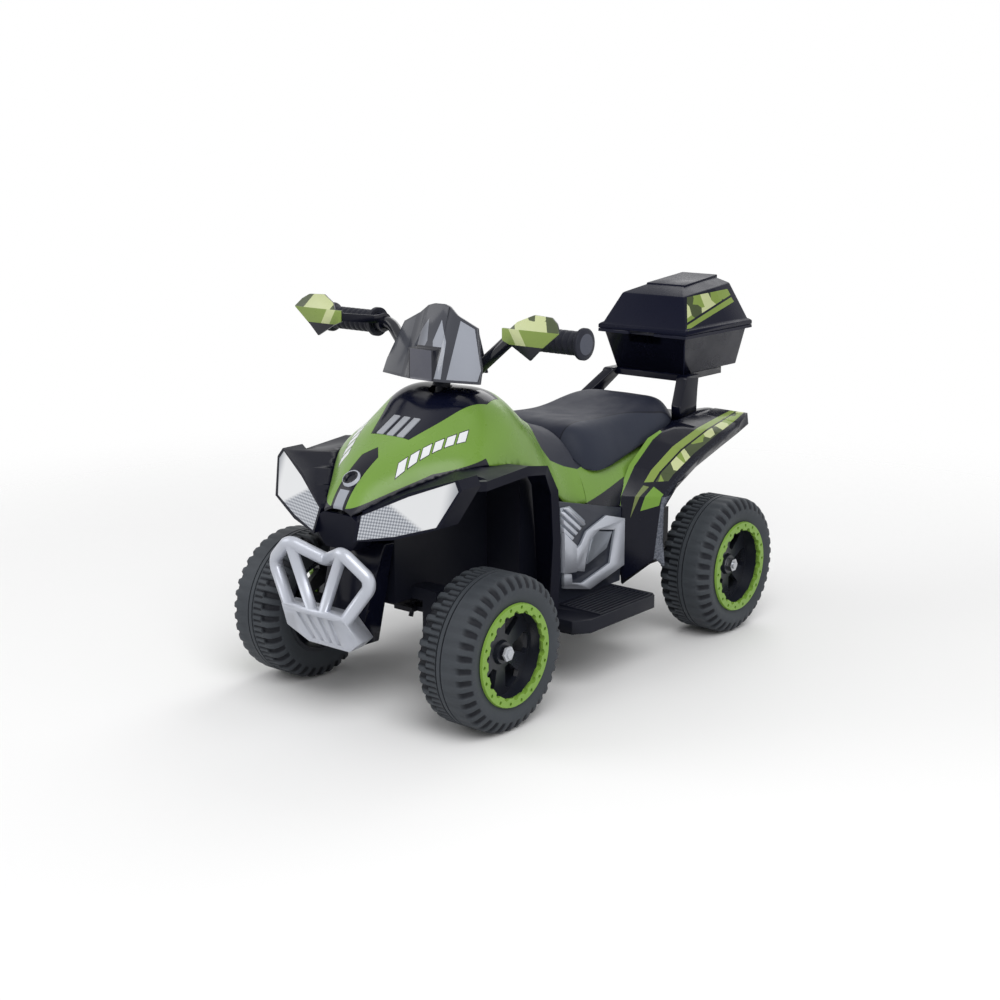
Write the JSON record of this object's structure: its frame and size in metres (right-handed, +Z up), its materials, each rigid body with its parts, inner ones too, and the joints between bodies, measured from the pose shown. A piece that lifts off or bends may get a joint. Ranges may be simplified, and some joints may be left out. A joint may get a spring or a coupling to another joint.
{
  "type": "kids quad bike",
  "caption": "Small electric ride-on quad bike for a toddler, with steered front wheels, a geared rear wheel, a saddle, lamps and a lidded storage box.",
  "frame": {"origin": "on the ground, at the middle of the overall length and width", "axes": "+X to the rider's left, +Y to the rear, +Z up"},
  "size_m": [0.43, 0.8585, 0.486],
  "materials": {
    "green": "gloss",
    "black": "gloss",
    "rim_black": "satin",
    "seat_grey": "satin",
    "silver": "satin",
    "lens": "clear",
    "reflector": "polished",
    "tyre": "matt",
    "steel": "brushed",
    "bar_black": "gloss",
    "grip": "matt",
    "gear_white": "satin",
    "brass": "satin",
    "battery": "matt",
    "switch_red": "gloss"
  },
  "bodies": {
    "frame": {"hood_cover": "green", "hood_top_panel": "black", "nose_strip": "black", "headlight_lenses": "lens", "headlight_reflectors": "reflector", "front_fascia": "black", "chassis_tub": "black", "front_bulkhead": "black", "column_bushes": "gear_white", "front_skid_plate": "black", "front_bumper": "silver", "middle_body": "green", "seat": "seat_grey", "rear_body": "black", "engine_panel_left": "silver", "engine_panel_right": "silver", "footrest_left": "black", "footrest_right": "black", "footrest_screws": "steel", "box_carrier": "black", "storage_box": "black", "lid_hinge_pin": "steel", "king_pins": "steel", "rear_axle": "steel", "motor": "steel", "gearbox_case": "black", "battery": "battery", "charge_socket": "battery"},
    "steering": {"steering_column": "steel", "bar_clamp": "black", "handlebar": "bar_black", "grips": "grip", "hand_guards": "green", "windshield": "black", "dash_panel": "black"},
    "horn_button": {"horn_button": "switch_red"},
    "music_button": {"music_button": "switch_red"},
    "power_switch": {"power_switch": "switch_red"},
    "direction_switch": {"direction_switch": "switch_red"},
    "spindle_left": {"spindle_left": "steel"},
    "spindle_right": {"spindle_right": "steel"},
    "tie_rod": {"tie_rod": "steel"},
    "lid": {"box_lid": "black"},
    "pedal": {"pedal": "grip"},
    "middle_gear": {"middle_gear": "gear_white"},
    "motor_pinion": {"motor_pinion": "brass"},
    "wheel_front_left": {"tyre_front_left": "tyre", "rim_front_left": "rim_black", "bead_ring_front_left": "green"},
    "wheel_front_right": {"tyre_front_right": "tyre", "rim_front_right": "rim_black", "bead_ring_front_right": "green"},
    "wheel_rear_left": {"tyre_rear_left": "tyre", "rim_rear_left": "rim_black", "bead_ring_rear_left": "green"},
    "wheel_rear_right": {"tyre_rear_right": "tyre", "rim_rear_right": "rim_black", "bead_ring_rear_right": "green", "output_gear": "gear_white"}
  },
  "joints": [
    {"name": "steering_turn", "type": "hinge", "parent": "frame", "child": "steering", "pos_m": [0, -0.18925, 0.4], "axis": [0, 0.342, 0.9397], "range_deg": [-22, 22]},
    {"name": "spindle_left_turn", "type": "hinge", "parent": "frame", "child": "spindle_left", "pos_m": [0.1, -0.28925, 0.095], "axis": [0, 0, 1], "range_deg": [-22.5, 22.5]},
    {"name": "spindle_right_turn", "type": "hinge", "parent": "frame", "child": "spindle_right", "pos_m": [-0.1, -0.28925, 0.095], "axis": [0, 0, 1], "range_deg": [-22.5, 22.5]},
    {"name": "tie_rod_slide", "type": "slide", "parent": "frame", "child": "tie_rod", "axis": [1, 0, 0], "range_m": [-0.0152, 0.0152]},
    {"name": "wheel_front_left_spin", "type": "hinge", "parent": "spindle_left", "child": "wheel_front_left", "pos_m": [0.157, -0.28925, 0.095], "axis": [1, 0, 0], "continuous": true},
    {"name": "wheel_front_right_spin", "type": "hinge", "parent": "spindle_right", "child": "wheel_front_right", "pos_m": [-0.157, -0.28925, 0.095], "axis": [1, 0, 0], "continuous": true},
    {"name": "wheel_rear_left_spin", "type": "hinge", "parent": "frame", "child": "wheel_rear_left", "pos_m": [0.157, 0.21075, 0.095], "axis": [1, 0, 0], "continuous": true},
    {"name": "wheel_rear_right_spin", "type": "hinge", "parent": "frame", "child": "wheel_rear_right", "pos_m": [-0.157, 0.21075, 0.095], "axis": [1, 0, 0], "continuous": true},
    {"name": "middle_gear_spin", "type": "hinge", "parent": "frame", "child": "middle_gear", "pos_m": [-0.09, 0.18737, 0.1085], "axis": [1, 0, 0], "continuous": true},
    {"name": "motor_pinion_spin", "type": "hinge", "parent": "frame", "child": "motor_pinion", "pos_m": [-0.09, 0.16472, 0.11249], "axis": [1, 0, 0], "continuous": true},
    {"name": "lid_hinge", "type": "hinge", "parent": "frame", "child": "lid", "pos_m": [0, 0.42525, 0.404], "axis": [-1, 0, 0], "range_deg": [0, 95]},
    {"name": "pedal_press", "type": "hinge", "parent": "frame", "child": "pedal", "pos_m": [-0.141, -0.04125, 0.107], "axis": [1, 0, 0], "range_deg": [0, 10], "stiffness_Nm_per_rad": 1, "springref_deg": -8.59},
    {"name": "horn_button_press", "type": "slide", "parent": "steering", "child": "horn_button", "axis": [0, -0.9659, -0.2588], "range_m": [0, 0.002], "stiffness_N_per_m": 400, "springref_m": -0.001},
    {"name": "music_button_press", "type": "slide", "parent": "steering", "child": "music_button", "axis": [0, -0.9659, -0.2588], "range_m": [0, 0.002], "stiffness_N_per_m": 400, "springref_m": -0.001},
    {"name": "power_switch_tip", "type": "hinge", "parent": "steering", "child": "power_switch", "pos_m": [0.026, -0.16119, 0.41296], "axis": [1, 0, 0], "range_deg": [0, 14]},
    {"name": "direction_switch_tip", "type": "hinge", "parent": "steering", "child": "direction_switch", "pos_m": [-0.026, -0.16119, 0.41296], "axis": [1, 0, 0], "range_deg": [0, 14]}
  ],
  "couplings": [
    {"joint": "spindle_left_turn", "follows": "steering_turn", "ratio": 1},
    {"joint": "spindle_right_turn", "follows": "steering_turn", "ratio": 1},
    {"joint": "tie_rod_slide", "follows": "steering_turn", "m_per_rad": -0.039},
    {"joint": "middle_gear_spin", "follows": "wheel_rear_right_spin", "ratio": -3.5},
    {"joint": "motor_pinion_spin", "follows": "wheel_rear_right_spin", "ratio": 12.6}
  ]
}
